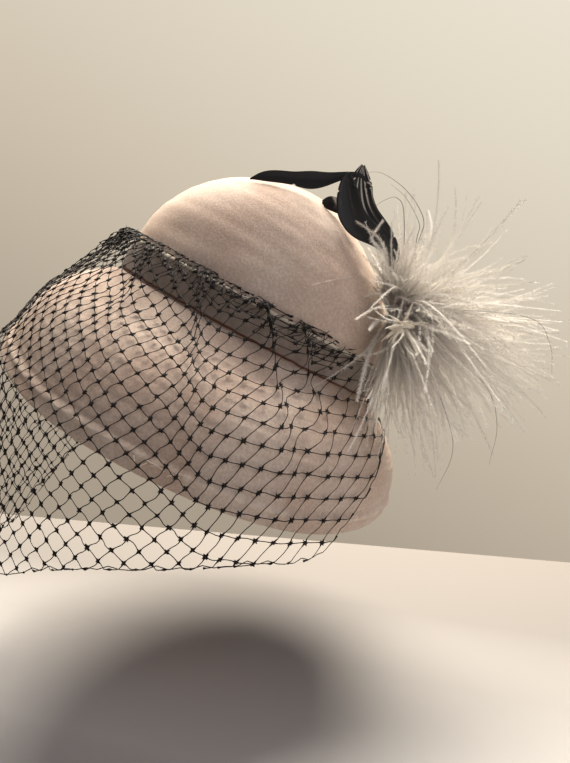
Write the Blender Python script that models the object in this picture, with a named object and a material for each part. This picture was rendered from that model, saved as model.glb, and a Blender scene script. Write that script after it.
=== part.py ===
# A deep bell-brimmed felt hat with a ribbon band, a dotted net veil, an ostrich pouf
# and four black feathers. Metres, +Z up. The hat is tipped back as it is worn.
# The hat's own axes have the head opening flat, its front at -Y and its left side at +X.
# The origin is the middle of the head opening, where the hat sits on a head.

import math

import bmesh
import bpy
import numpy as np
from mathutils import Vector
from mathutils.bvhtree import BVHTree

# Felt hood
HEAD_LENGTH = 0.1990  # inside the head opening, front to back
HEAD_WIDTH = 0.1650  # inside the head opening, side to side
FELT = 0.0022  # wall
CROWN_HEIGHT = 0.1119  # head opening to the top of the crown
BRIM_REACH = 0.0660  # how far the brim stands out past the crown at the side
BRIM_DROP = 0.0914  # how far its edge lies below the head opening, at its deepest
BREAK_ANGLE = 29.0  # slope of the brim where it leaves the crown, degrees
BREAK_PULL = 0.55  # how long the brim holds that slope, as a share of its width
EDGE_PULL = 0.34  # how long it holds its slope at the edge
HEM = 0.0110  # width of the turned hem
HEM_SWELL = 0.0006  # how much the hem stands proud outside
HEM_TURN = 0.0010  # how much thicker it is inside
TILT = 28.5  # how far back the hat is worn, degrees

# Ribbon band
RIBBON_WIDTH = 0.0230
RIBBON = 0.0010  # thickness
RIBBON_LIFT = 0.0008  # from the brim's break to the ribbon's lower edge

# Net veil
VEIL_THREAD = 0.0010  # thickness of a strand
VEIL_STRAND = 0.065  # a strand's half width, as a share of its cell
VEIL_FALL = 0.1650  # how far the veil hangs below the brim at the front
VEIL_PUFF = 0.0070  # how far its gathered top stands off the ribbon
VEIL_SPRING = 0.0030  # how far the stiff net springs clear of the brim's edge
VEIL_SLACK = 0.0012  # how far it lies off the felt between its knots
VEIL_END = 172.0  # heading of its two ends, degrees from the front
VEIL_COLUMNS = 12  # cells on either side of the middle
VEIL_HALF_ROWS = 9
VEIL_SPREAD = 0.30  # how much wider its cells grow towards the back
VEIL_STEPS = 40  # points along the brim on each run of the net

# Ostrich pouf and black feathers
POUF_HEADING = 157.0  # degrees from the front, towards the hat's left
POUF_HEIGHT = 0.0560  # above the head opening
POUF_HEAD = 0.0130  # radius of the bound head
POUF_HEAD_DEPTH = 0.0080
POUF_REACH = 0.1180  # length of the longest lock
POUF_DROOP = 0.75  # how strongly the locks bend down
POUF_CURL = 0.10  # how strongly they bend away from the hat
VANE = 0.0010  # thickness of a black feather's vane
QUILL = 0.0018  # thickness along its quill
FEATHER_PITCH = 0.0035  # from one quill to the next, towards the hat's left
FEATHER_STEPS = 13  # steps along a feather
FINEST_VANE = 0.08  # narrowest vane, as a share of its widest

GAP = 0.0003  # between pieces that touch
HEADINGS = 42  # steps round the hat
CROWN_ROWS = 9
BRIM_ROWS = 9
HEM_STEP = 0.02  # how soon the hem swells past its stitching, as a share of the brim

NODE_COLOURS = {
    "felt_body": ((0.62, 0.52, 0.44), 0.92),
    "hatband": ((0.33, 0.28, 0.25), 0.70),
    "net_veil": ((0.02, 0.02, 0.022), 0.60),
    "ostrich_pouf": ((0.66, 0.63, 0.59), 0.85),
    "black_feather": ((0.012, 0.012, 0.013), 0.45),
}


def table(columns, *rows):
    """Columns by name from rows of numbers."""
    return dict(zip(columns.split(), np.array(rows, float).T))


# The brim at five headings from front to back: reach and drop as shares of BRIM_REACH
# and BRIM_DROP, and its slope at the edge in degrees.
BRIM = table(
    "heading reach drop edge_angle",
    (0, 0.74, 0.89, 75),
    (45, 0.80, 1.00, 77),
    (90, 1.00, 0.97, 81),
    (135, 0.87, 0.88, 85),
    (180, 0.76, 0.71, 87),
)

# How full the crown's dome is at three headings: 1 is an ellipse, more is leaner.
DOME = table("heading lean", (0, 1.00), (90, 0.98), (180, 1.25))

# Soft hollows in the crown: heading and climb (0 at the ribbon, 90 at the top) in degrees,
# depth in shares of the felt's wall and radius in shares of CROWN_HEIGHT.
HOLLOWS = table(
    "heading climb depth radius",
    (79, 24, 1.1, 0.26),
    (44, 6, 0.6, 0.12),
    (122, 36, 0.7, 0.16),
    (-84, 28, 0.9, 0.24),
)

# The veil's lower border on the hat's left and right: how far it falls past the brim's edge,
# as shares of VEIL_FALL. Below nothing it ends on the brim.
VEIL = table(
    "heading left right",
    (0, 1.00, 1.00),
    (37, 0.78, 0.62),
    (64, 0.50, 0.34),
    (90, 0.28, 0.16),
    (112, 0.14, 0.05),
    (136, 0.00, -0.04),
    (145, -0.17, -0.17),
    (152, -0.29, -0.29),
    (163, -0.37, -0.37),
    (180, -0.40, -0.40),
)

# Each black feather from its foot to its tip: share of its length, rise of its run in
# degrees (90 is up, 180 is forward), width as a share of its widest.
LEAF = table(
    "along rise width",
    (0.00, 88, 0.10),
    (0.17, 92, 0.10),
    (0.28, 118, 0.12),
    (0.40, 118, 0.12),
    (0.50, 112, 0.16),
    (0.55, 170, 0.50),
    (0.62, 190, 1.00),
    (0.72, 186, 0.95),
    (0.82, 174, 0.80),
    (0.92, 180, 0.70),
    (1.00, 192, 0.08),
)
BROAD = table(
    "along rise width",
    (0.00, 86, 0.10),
    (0.22, 92, 0.16),
    (0.34, 122, 0.40),
    (0.48, 140, 0.60),
    (0.62, 128, 0.85),
    (0.76, 104, 1.00),
    (0.90, 92, 0.80),
    (1.00, 80, 0.22),
)
SMALL = table(
    "along rise width",
    (0.00, 88, 0.10),
    (0.24, 94, 0.14),
    (0.38, 124, 0.18),
    (0.60, 142, 0.40),
    (0.80, 148, 1.00),
    (0.92, 160, 0.90),
    (1.00, 176, 0.15),
)

# A lock of the pouf from its root to its tip: share of its length, thickness in shares of
# its root's.
LOCK = table(
    "along swell",
    (0.10, 1.15),
    (0.34, 2.10),
    (0.62, 1.93),
    (0.84, 1.16),
    (1.00, 0.08),
)

# Each feather's shape, length and widest width, its place in shares of FEATHER_PITCH from
# the pouf's middle, and its lean to the hat's left and its fan forward in degrees.
FEATHERS = {
    "leaf_feather": dict(shape=LEAF, length=0.165, width=0.0105, place=-0.35, lean=2, fan=0),
    "upright_feather": dict(shape=BROAD, length=0.094, width=0.0195, place=1.7, lean=3, fan=0),
    "striped_feather": dict(shape=BROAD, length=0.094, width=0.0180, place=0.7, lean=2, fan=-3),
    "small_feather": dict(shape=SMALL, length=0.093, width=0.0090, place=-1.3, lean=2, fan=0),
}


def around(heading, headings, values):
    """A smooth even curve round the hat through values at evenly spaced headings."""
    orders = np.arange(len(values))
    weights = np.linalg.solve(np.cos(np.outer(np.radians(headings), orders)), values)
    return np.cos(np.multiply.outer(heading, orders)) @ weights


def through(at, places, values):
    """A smooth curve through values at rising places (cubic, slopes from its neighbours)."""
    slopes = np.gradient(values, places)
    at = np.clip(at, places[0], places[-1])
    index = np.clip(np.searchsorted(places, at, side="right") - 1, 0, len(places) - 2)
    width = places[index + 1] - places[index]
    t = (at - places[index]) / width
    rise = t * t * (3 - 2 * t)
    return (
        values[index] * (1 - rise)
        + values[index + 1] * rise
        + slopes[index] * width * t * (1 - t) ** 2
        - slopes[index + 1] * width * t * t * (1 - t)
    )


def tipped(points):
    """Points of the hat's own axes, tipped back into the worn position."""
    c, s = math.cos(math.radians(TILT)), math.sin(math.radians(TILT))
    x, y, z = np.moveaxis(np.asarray(points), -1, 0)
    return np.stack([x, y * c + z * s, z * c - y * s], -1)


def opening_radius(heading):
    """Distance from the axis to the outside of the felt at the head opening."""
    half_length = HEAD_LENGTH / 2 + FELT
    half_width = HEAD_WIDTH / 2 + FELT
    return 1 / np.hypot(np.sin(heading) / half_width, np.cos(heading) / half_length)


def at_heading(heading, radius, height):
    return np.stack([radius * np.sin(heading), -radius * np.cos(heading), height], -1)


def band_top():
    return RIBBON_LIFT + RIBBON_WIDTH


def crown(heading, climb):
    """Outside of the dome: climb is 0 at the ribbon's top and 90 degrees at the summit."""
    lean = around(heading, DOME["heading"], DOME["lean"])
    shrink = np.ones_like(climb)
    for place, rise, depth, radius in zip(*HOLLOWS.values()):
        turn = np.cos(heading - math.radians(place)) * np.cos(climb) * math.cos(math.radians(rise))
        nearness = turn + np.sin(climb) * math.sin(math.radians(rise))
        spread = radius * CROWN_HEIGHT / opening_radius(math.radians(place))
        hollow = np.exp(-2 * (1 - nearness) / spread**2)
        shrink = shrink - depth * FELT / opening_radius(math.radians(place)) * hollow
    shrink = 1 - (1 - shrink) * np.clip(climb / math.radians(12), 0, 1)
    radius = opening_radius(heading) * np.cos(climb) ** lean * shrink
    height = band_top() + (CROWN_HEIGHT - band_top()) * np.sin(climb) ** lean * shrink
    return at_heading(heading, radius, height)


def brim(heading, share):
    """Outside of the brim, from its break at share 0 to its edge at 1: a Bezier section."""
    start = opening_radius(heading)
    reach = BRIM_REACH * around(heading, BRIM["heading"], BRIM["reach"])
    drop = BRIM_DROP * around(heading, BRIM["heading"], BRIM["drop"])
    slope = np.radians(around(heading, BRIM["heading"], BRIM["edge_angle"]))
    chord = np.hypot(reach, drop)
    first = math.radians(BREAK_ANGLE)
    radii = (
        start,
        start + chord * BREAK_PULL * math.cos(first),
        start + reach - chord * EDGE_PULL * np.cos(slope),
        start + reach,
    )
    heights = (
        0 * start,
        -chord * BREAK_PULL * math.sin(first),
        -drop + chord * EDGE_PULL * np.sin(slope),
        -drop,
    )
    weights = ((1 - share) ** 3, 3 * share * (1 - share) ** 2, 3 * share**2 * (1 - share), share**3)
    radius = sum(w * r for w, r in zip(weights, radii))
    height = sum(w * h for w, h in zip(weights, heights))
    return at_heading(heading, radius, height)


def normals_of(grid, closed):
    """Unit normals of a grid of points, outwards where its columns run round anticlockwise."""
    if closed:
        around_step = np.roll(grid, -1, 1) - np.roll(grid, 1, 1)
    else:
        around_step = np.gradient(grid, axis=1)
    normal = np.cross(np.gradient(grid, axis=0), around_step)
    return normal / np.linalg.norm(normal, axis=-1, keepdims=True)


def material(name):
    colour, roughness = NODE_COLOURS[name]
    made = bpy.data.materials.get(name) or bpy.data.materials.new(name)
    made.use_nodes = True
    shader = made.node_tree.nodes["Principled BSDF"]
    shader.inputs["Base Color"].default_value = (*colour, 1)
    shader.inputs["Roughness"].default_value = roughness
    shader.inputs["Metallic"].default_value = 0
    return made


def add_node(name, points, faces, finish):
    mesh = bpy.data.meshes.new(name)
    mesh.from_pydata(np.asarray(points).tolist(), [], faces)
    shell = bmesh.new()
    shell.from_mesh(mesh)
    bmesh.ops.recalc_face_normals(shell, faces=shell.faces)
    shell.to_mesh(mesh)
    shell.free()
    mesh.materials.append(material(finish))
    mesh.shade_smooth()
    mesh.set_sharp_from_angle(angle=math.radians(40))
    obj = bpy.data.objects.new(name, mesh)
    bpy.context.scene.collection.objects.link(obj)
    return obj


def ring_faces(rows, columns, offset=0, flip=False):
    """Quads between consecutive closed rows of points."""
    faces = []
    for row in range(rows - 1):
        for column in range(columns):
            after = (column + 1) % columns
            quad = [row * columns + column, (row + 1) * columns + column]
            quad += [(row + 1) * columns + after, row * columns + after]
            faces.append([offset + k for k in (quad[::-1] if flip else quad)])
    return faces


def headings_round():
    return np.arange(HEADINGS) * 2 * math.pi / HEADINGS


def felt_body():
    """Crown and brim as one blocked hood: an outer skin, an inner skin and a turned hem."""
    heading = headings_round()
    climbs = np.linspace(math.pi / 2, 0, CROWN_ROWS + 1)[1:]
    width = np.linalg.norm(np.diff(brim(np.zeros(2), np.array([0.0, 1.0])), axis=0))
    hem_share = 1 - HEM / width
    hem_rows = np.linspace(hem_share + HEM_STEP, 1, 3)
    shares = np.concatenate([np.linspace(0, hem_share, BRIM_ROWS), hem_rows])
    rows = [crown(heading, np.full(HEADINGS, climb)) for climb in climbs]
    rows += [brim(heading, np.full(HEADINGS, share)) for share in shares]
    outer = np.array(rows)
    normal = normals_of(outer, closed=True)
    in_hem = np.concatenate([np.zeros(len(climbs)), shares > hem_share])[:, None, None]
    inner = outer - normal * (FELT + HEM_TURN * in_hem)
    outer = outer + normal * HEM_SWELL * in_hem
    count = len(outer)
    top = np.array([[0, 0, CROWN_HEIGHT], [0, 0, CROWN_HEIGHT - FELT]])
    points = np.concatenate([outer.reshape(-1, 3), inner.reshape(-1, 3), top])
    half = count * HEADINGS
    faces = ring_faces(count, HEADINGS) + ring_faces(count, HEADINGS, half, flip=True)
    last = (count - 1) * HEADINGS
    for column in range(HEADINGS):
        after = (column + 1) % HEADINGS
        faces.append([last + column, half + last + column, half + last + after, last + after])
        faces.append([2 * half, column, after])
        faces.append([2 * half + 1, half + after, half + column])
    return add_node("felt_body", tipped(points), faces, "felt_body")


def hatband():
    """A flat ribbon loop round the foot of the crown."""
    heading = headings_round()
    inside = opening_radius(heading) + GAP
    ends = (RIBBON_LIFT, band_top())
    corners = ((inside, ends[0]), (inside + RIBBON, ends[0]))
    corners += ((inside + RIBBON, ends[1]), (inside, ends[1]))
    rows = [at_heading(heading, radius, np.full(HEADINGS, height)) for radius, height in corners]
    points = np.array(rows + rows[:1]).reshape(-1, 3)
    faces = ring_faces(5, HEADINGS, flip=True)
    faces = [[k % (4 * HEADINGS) for k in face] for face in faces]
    return add_node("hatband", tipped(points[: 4 * HEADINGS]), faces, "hatband")


def veil_path(heading):
    """The net's run at one heading: over the ribbon's top, taut to the brim, along it and down."""
    turn = abs(heading)
    clear = GAP + VEIL_THREAD
    over_ribbon = opening_radius(heading) + GAP + RIBBON + clear
    falls = VEIL["left"] if heading > 0 else VEIL["right"]
    fall = VEIL_FALL * through(turn, np.radians(VEIL["heading"]), falls)
    out = np.array([math.sin(heading), -math.cos(heading), 0])
    lying = brim(np.full(VEIL_STEPS, heading), np.linspace(0, 1, VEIL_STEPS))
    run = np.gradient(lying, axis=0)
    lift = np.stack([-run[:, 2] * out[0], -run[:, 2] * out[1], run @ out], -1)
    lift /= np.linalg.norm(lift, axis=1, keepdims=True)
    to_edge = np.linalg.norm(lying - lying[-1], axis=1)
    spring = VEIL_SPRING * np.exp(-((to_edge / HEM) ** 2))
    lying = lying + lift * (clear + VEIL_SLACK + HEM_SWELL + spring)[:, None]
    top = at_heading(heading, over_ribbon, band_top() - 2 * clear)
    puff = at_heading(heading, over_ribbon + VEIL_PUFF, band_top() + VEIL_PUFF / 2)
    shoulder = (top + puff) / 2 + out * VEIL_PUFF / 4
    ahead = (lying - puff) @ out
    slope = np.where(ahead > VEIL_PUFF, (lying[:, 2] - puff[2]) / ahead, -np.inf)
    taut = int(np.argmax(slope))
    path = tipped(np.concatenate([[top, shoulder, puff], lying[taut:]]))
    away = tipped(out) * np.array([1, 1, 0])
    drops = np.linspace(VEIL_SPRING, 2 * VEIL_FALL, VEIL_STEPS)[:, None]
    hanging = path[-1] + away * VEIL_SPRING / 2 + drops * np.array([0, 0, -1])
    length = np.linalg.norm(np.diff(path, axis=0), axis=1).sum() + fall
    return np.concatenate([path, hanging]), length


def veil_points(columns, shares):
    """Points of the net: columns from -1 to 1 round the hat, shares from its top to its border."""
    points = np.empty((len(columns), 3))
    for index, (column, share) in enumerate(zip(columns, shares)):
        heading = math.radians(VEIL_END) * ((1 - VEIL_SPREAD) * column + VEIL_SPREAD * column**3)
        path, length = veil_path(heading)
        steps = np.concatenate([[0], np.linalg.norm(np.diff(path, axis=0), axis=1)]).cumsum()
        points[index] = [np.interp(share * length, steps, axis) for axis in path.T]
    return points


def net_veil():
    """The net as a coarse lattice of diamonds, cut through, with half cells at its borders."""
    last_i, last_j = 2 * VEIL_COLUMNS, VEIL_HALF_ROWS
    round_cell = [(-2, 0), (-1, 1), (0, 2), (1, 1), (2, 0), (1, -1), (0, -2), (-1, -1)]
    cells = []
    for i in range(last_i + 1):
        for j in range(last_j + 1):
            if (i + j) % 2 == 0:
                continue
            cell = [(i + di / 2, j + dj / 2) for di, dj in round_cell]
            cell = [(a, b) for a, b in cell if 0 <= a <= last_i and 0 <= b <= last_j]
            if i in (0, last_i):
                cell += [(i, j - 0.5), (i, j), (i, j + 0.5)]
            if j in (0, last_j):
                cell += [(i - 0.5, j), (i, j), (i + 0.5, j)]
            a, b = np.mean(cell, axis=0)
            cell.sort(key=lambda corner: -math.atan2(corner[1] - b, corner[0] - a))
            cells.append(cell)
    return lattice("net_veil", cells)


def lattice(name, cells):
    """A sheet of the net's cells with a hole in each, a strand's thickness deep."""
    index, plane = {}, []

    def place(a, b):
        key = (round(a, 4), round(b, 4))
        if key not in index:
            index[key] = len(plane)
            plane.append(key)
        return index[key]

    rims, holes = [], []
    for cell in cells:
        middle = np.mean(cell, axis=0)
        rims.append([place(a, b) for a, b in cell])
        shrunk = [middle + (np.array(p) - middle) * (1 - 2 * VEIL_STRAND) for p in cell]
        holes.append([place(a, b) for a, b in shrunk])
    plane = np.array(plane)
    columns, shares = plane[:, 0] / VEIL_COLUMNS - 1, plane[:, 1] / VEIL_HALF_ROWS
    step = 0.01
    middle = veil_points(columns, shares)
    across = veil_points(columns + step, shares) - veil_points(columns - step, shares)
    down = veil_points(columns, shares + step) - veil_points(columns, np.maximum(shares - step, 0))
    normal = np.cross(down, across)
    normal /= np.linalg.norm(normal, axis=1, keepdims=True)
    points = np.concatenate([middle + normal * VEIL_THREAD / 2, middle - normal * VEIL_THREAD / 2])
    below = len(plane)
    faces, edges = [], {}
    for rim, hole in zip(rims, holes):
        for k in range(len(rim)):
            a, b = rim[k], rim[(k + 1) % len(rim)]
            c, d = hole[(k + 1) % len(rim)], hole[k]
            faces.append([a, b, c, d])
            faces.append([below + d, below + c, below + b, below + a])
            faces.append([d, c, below + c, below + d])
            edges[(a, b)] = edges.get((a, b), 0) + 1
    for a, b in edges:
        if (b, a) not in edges:
            faces.append([b, a, below + a, below + b])
    return add_node(name, points, faces, "net_veil")


def pouf_frame():
    """Where the pouf is sewn on: the felt's outside there, and its outward, upward and side ways."""
    heading = math.radians(POUF_HEADING)
    climbs = np.radians(np.arange(0, 89, 1.0))
    rise = crown(np.full(len(climbs), heading), climbs)[:, 2]
    climb = np.interp(POUF_HEIGHT, rise, climbs)
    step = 0.01
    around_hat = np.array([heading, heading, heading + step])
    here, above, beside = tipped(crown(around_hat, np.array([climb, climb + step, climb])))
    up = (above - here) / np.linalg.norm(above - here)
    out = np.cross(beside - here, up)
    out /= np.linalg.norm(out)
    return here, out, up, np.cross(out, up)


def pouf_head():
    """The bound head of the pouf: a flattened ball, as unit points, placed points and faces."""
    here, out, up, side = pouf_frame()
    bpy.ops.mesh.primitive_ico_sphere_add(subdivisions=2, radius=1)
    ball = bpy.context.object
    unit = np.array([vertex.co for vertex in ball.data.vertices])
    triangles = [list(polygon.vertices) for polygon in ball.data.polygons]
    bpy.data.objects.remove(ball)
    axes = np.array([side * POUF_HEAD, up * POUF_HEAD, out * POUF_HEAD_DEPTH])
    return unit, here + out * (POUF_HEAD_DEPTH + GAP) + unit @ axes, triangles


def ostrich_pouf():
    """Locks grown from the faces of a bound head, combed outwards and drooping."""
    here, out, up, side = pouf_frame()
    unit, placed, triangles = pouf_head()
    points, faces = list(placed), []
    for number, triangle in enumerate(triangles):
        local = unit[triangle].mean(axis=0)
        local /= np.linalg.norm(local)
        if local[2] < 0.12 or local[1] > 0.80:
            faces.append(triangle)
            continue
        grow_lock(points, faces, triangle, local, (side, up, out), number)
    return add_node("ostrich_pouf", points, faces, "ostrich_pouf")


def grow_lock(points, faces, triangle, local, ways, number):
    """One lock: the face carried along a drooping path, swelling and then tapering."""
    side, up, out = ways
    vary = math.sin(number * 13.0) / 2 + 0.5
    direction = local[0] * side + local[1] * up + (local[2] + 0.25) * out
    direction /= np.linalg.norm(direction)
    outward = direction @ out / 2 + 0.5
    length = POUF_REACH * (0.62 + 0.26 * outward + 0.12 * vary)
    root = np.array([points[k] for k in triangle])
    middle = root.mean(axis=0)
    spokes = root - middle
    previous, done = list(triangle), 0.0
    for along, swell in zip(*LOCK.values()):
        sag = np.array([0, 0, -POUF_DROOP]) * along**1.3
        heading = direction + sag + out * POUF_CURL * along
        heading /= np.linalg.norm(heading)
        middle = middle + heading * (along - done) * length
        done = along
        across = spokes - np.outer(spokes @ heading, heading)
        start = len(points)
        points.extend(middle + across * swell)
        current = [start, start + 1, start + 2]
        for k in range(3):
            after = (k + 1) % 3
            faces.append([previous[k], previous[after], current[after], current[k]])
        previous = current
    faces.append(previous)


def lowered(corners, down):
    """The foot of a quill, lowered until its first corner is GAP from the pouf's bound head."""
    unit, placed, triangles = pouf_head()
    head = BVHTree.FromPolygons(placed.tolist(), triangles)
    drops = [head.ray_cast(Vector(corner), Vector(down))[3] for corner in corners]
    return corners + down * (min(drops) - GAP)


def feather(name):
    """A blade along a bending run: flat vanes either side of a thicker quill."""
    made = FEATHERS[name]
    shape, lean = made["shape"], math.radians(made["lean"])
    here, out, up, side = pouf_frame()
    foot = here + out * (POUF_HEAD_DEPTH + GAP) + up * (POUF_HEAD + GAP + QUILL)
    foot = foot + side * made["place"] * FEATHER_PITCH
    along = np.linspace(0, 1, FEATHER_STEPS + 1)
    rise = np.radians(through(along, shape["along"], shape["rise"]) + made["fan"])
    run = np.stack([np.full(len(along), math.sin(lean)), np.cos(rise), np.sin(rise)], -1)
    run /= np.linalg.norm(run, axis=1, keepdims=True)
    steps = (run[1:] + run[:-1]) / 2 * made["length"] / FEATHER_STEPS
    spine = foot + np.concatenate([np.zeros((1, 3)), steps]).cumsum(axis=0)
    flat = np.array([math.cos(lean), 0, 0]) - run * run[:, :1]
    flat /= np.linalg.norm(flat, axis=1, keepdims=True)
    across = np.cross(run, flat)
    widths = np.maximum(through(along, shape["along"], shape["width"]), FINEST_VANE)
    half = made["width"] / 2 * widths[:, None]
    sections = [spine + across * half + flat * VANE / 2, spine + flat * QUILL / 2]
    sections += [spine - across * half + flat * VANE / 2, spine - across * half - flat * VANE / 2]
    sections += [spine - flat * QUILL / 2, spine + across * half - flat * VANE / 2]
    count = len(sections)
    rings = np.stack(sections, 1)
    points = np.concatenate([lowered(rings[0], -up)[None], rings]).reshape(-1, 3)
    faces = ring_faces(len(along) + 1, count, flip=True)
    last = len(along) * count
    faces += [list(range(count)), list(range(last, last + count))[::-1]]
    return add_node(name, points, faces, "black_feather")


def main():
    for obj in list(bpy.data.objects):
        bpy.data.objects.remove(obj)
    felt_body()
    hatband()
    net_veil()
    ostrich_pouf()
    for name in FEATHERS:
        feather(name)


main()
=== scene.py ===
# The looks of a bell-brimmed felt hat: wool felt, ribbon band, dotted net veil, ostrich
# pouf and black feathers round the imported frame. Metres, +Z up, front at -Y, left at +X.
# The hat is tipped back as it is worn, and its shapes repeat the formulas of its source.

import math

import bpy
import numpy as np
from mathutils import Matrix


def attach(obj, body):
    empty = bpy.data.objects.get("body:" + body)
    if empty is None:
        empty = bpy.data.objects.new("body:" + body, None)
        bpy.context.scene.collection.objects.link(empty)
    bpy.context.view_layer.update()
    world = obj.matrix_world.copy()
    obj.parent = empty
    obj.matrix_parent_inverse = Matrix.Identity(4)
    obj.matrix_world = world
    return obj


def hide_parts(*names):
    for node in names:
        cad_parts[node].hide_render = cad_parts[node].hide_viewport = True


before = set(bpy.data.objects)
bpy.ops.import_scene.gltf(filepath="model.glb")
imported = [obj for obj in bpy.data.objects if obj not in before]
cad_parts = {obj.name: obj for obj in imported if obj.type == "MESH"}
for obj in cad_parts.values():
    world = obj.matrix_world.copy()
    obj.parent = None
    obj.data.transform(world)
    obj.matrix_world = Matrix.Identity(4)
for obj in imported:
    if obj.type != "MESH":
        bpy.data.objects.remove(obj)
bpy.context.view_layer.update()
print("frame loaded:", len(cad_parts), "nodes")

photo = {
    "place": (0.5187, 0.0294, 0.0116),
    "pitch": 5.33,  # degrees down
    "focal": 690.0,  # pixels
    "wide": 570,
    "high": 763,
    "sensor": 36.0,  # mm, along the picture's height
}

hat = {
    "headLength": 0.1990,  # the opening, inside
    "headWidth": 0.1650,
    "felt": 0.0022,  # wall
    "crownHeight": 0.1119,
    "brimReach": 0.0660,  # sideways and down from the break to the edge, at the side
    "brimDrop": 0.0914,
    "breakAngle": 29.0,  # below level, degrees
    "breakPull": 0.55,  # the section's handles, in chords
    "edgePull": 0.34,
    "tilt": 28.5,  # backwards, degrees
    "ribbonWidth": 0.0230,
    "ribbonLift": 0.0008,
}
bandTop = hat["ribbonLift"] + hat["ribbonWidth"]
eye = np.array(photo["place"])


def tableOf(columns, *rows):
    return dict(zip(columns.split(), np.array(rows, float).T))


brimTable = tableOf(
    "heading reach drop edgeAngle",
    (0, 0.74, 0.89, 75),
    (45, 0.80, 1.00, 77),
    (90, 1.00, 0.97, 81),
    (135, 0.87, 0.88, 85),
    (180, 0.76, 0.71, 87),
)
domeTable = tableOf("heading lean", (0, 1.00), (90, 0.98), (180, 1.25))
# Soft hollows and creases in the crown: depth in felt walls, radius in crown heights
hollowTable = tableOf(
    "heading climb depth radius",
    (79, 24, 1.1, 0.26),
    (44, 6, 0.6, 0.12),
    (122, 36, 0.7, 0.16),
    (-84, 28, 0.9, 0.24),
    (78, 9, -0.35, 0.07),
    (131, 46, 0.35, 0.05),
    (118, 30, -0.30, 0.06),
)


def around(heading, headings, values):
    # a smooth even curve round the hat: cosines through values at evenly spaced headings
    orders = np.arange(len(values))
    weights = np.linalg.solve(np.cos(np.outer(np.radians(headings), orders)), values)
    return np.cos(np.multiply.outer(heading, orders)) @ weights


def through(at, places, values):
    # a smooth cubic curve through values at rising places
    slopes = np.gradient(values, places)
    at = np.clip(at, places[0], places[-1])
    index = np.clip(np.searchsorted(places, at, side="right") - 1, 0, len(places) - 2)
    width = places[index + 1] - places[index]
    t = (at - places[index]) / width
    rise = t * t * (3 - 2 * t)
    ends = slopes[index] * (1 - t) - slopes[index + 1] * t
    return values[index] * (1 - rise) + values[index + 1] * rise + width * t * (1 - t) * ends


def unit(vectors):
    return vectors / np.maximum(np.linalg.norm(vectors, axis=-1, keepdims=True), 1e-12)


def tipped(points):
    # from the hat's own axes to the worn position: a turn about X
    c, s = math.cos(math.radians(hat["tilt"])), math.sin(math.radians(hat["tilt"]))
    x, y, z = np.moveaxis(np.asarray(points), -1, 0)
    return np.stack([x, y * c + z * s, z * c - y * s], -1)


def fullTurn(count):
    return np.arange(count) * 2 * math.pi / count


def atHeading(heading, radius, height):
    parts = (radius * np.sin(heading), -radius * np.cos(heading), height)
    return np.stack(np.broadcast_arrays(*parts), -1)


def openingRadius(heading):
    # an ellipse, as a distance from its middle at each heading
    halfLength = hat["headLength"] / 2 + hat["felt"]
    halfWidth = hat["headWidth"] / 2 + hat["felt"]
    return 1 / np.hypot(np.sin(heading) / halfWidth, np.cos(heading) / halfLength)


def crownPoint(heading, climb):
    # an ellipsoid whose fullness changes with the heading, shrunk by soft bell-shaped hollows
    lean = around(heading, domeTable["heading"], domeTable["lean"])
    shrink = np.ones(np.broadcast(heading, climb).shape)
    for place, rise, depth, radius in zip(*hollowTable.values()):
        wall = hat["felt"] / openingRadius(math.radians(place))
        spread = radius * hat["crownHeight"] / openingRadius(math.radians(place))
        level = np.cos(heading - math.radians(place)) * np.cos(climb) * math.cos(math.radians(rise))
        nearness = level + np.sin(climb) * math.sin(math.radians(rise))
        shrink = shrink - depth * wall * np.exp(-2 * (1 - nearness) / spread**2)
    shrink = 1 - (1 - shrink) * np.clip(climb / math.radians(12), 0, 1)
    radius = openingRadius(heading) * np.cos(climb) ** lean * shrink
    height = bandTop + (hat["crownHeight"] - bandTop) * np.sin(climb) ** lean * shrink
    return atHeading(heading, radius, height)


def brimPoint(heading, share):
    # a Bezier section from the break (share 0) to the edge (share 1)
    start = openingRadius(heading)
    reach = hat["brimReach"] * around(heading, brimTable["heading"], brimTable["reach"])
    drop = hat["brimDrop"] * around(heading, brimTable["heading"], brimTable["drop"])
    slope = np.radians(around(heading, brimTable["heading"], brimTable["edgeAngle"]))
    chord = np.hypot(reach, drop)
    first = math.radians(hat["breakAngle"])
    hold = chord * hat["breakPull"]
    end = chord * hat["edgePull"]
    edge = start + reach
    radii = (start, start + hold * math.cos(first), edge - end * np.cos(slope), edge)
    heights = (0 * start, -hold * math.sin(first), -drop + end * np.sin(slope), -drop)
    weights = ((1 - share) ** 3, 3 * share * (1 - share) ** 2, 3 * share**2 * (1 - share), share**3)
    radius = sum(w * r for w, r in zip(weights, radii))
    height = sum(w * h for w, h in zip(weights, heights))
    return atHeading(heading, radius, height)


def normalsOf(grid):
    # unit normals of closed rings of points: the steps down the columns and round the rings
    return unit(np.cross(np.gradient(grid, axis=0), np.roll(grid, -1, 1) - np.roll(grid, 1, 1)))


def distances(points, axis):
    # the distance covered along runs of points, from 0 at their start
    steps = np.linalg.norm(np.diff(points, axis=axis), axis=-1).cumsum(axis)
    return np.concatenate([0 * np.take(steps, [0], axis), steps], axis)


def ripples(a, b, waves):
    # a smooth uneven relief between -1 and 1: a sum of slanted sine waves (across, along, phase)
    total = sum(np.sin(p * a + q * b + phase) for p, q, phase in waves)
    return total / len(waves)


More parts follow.
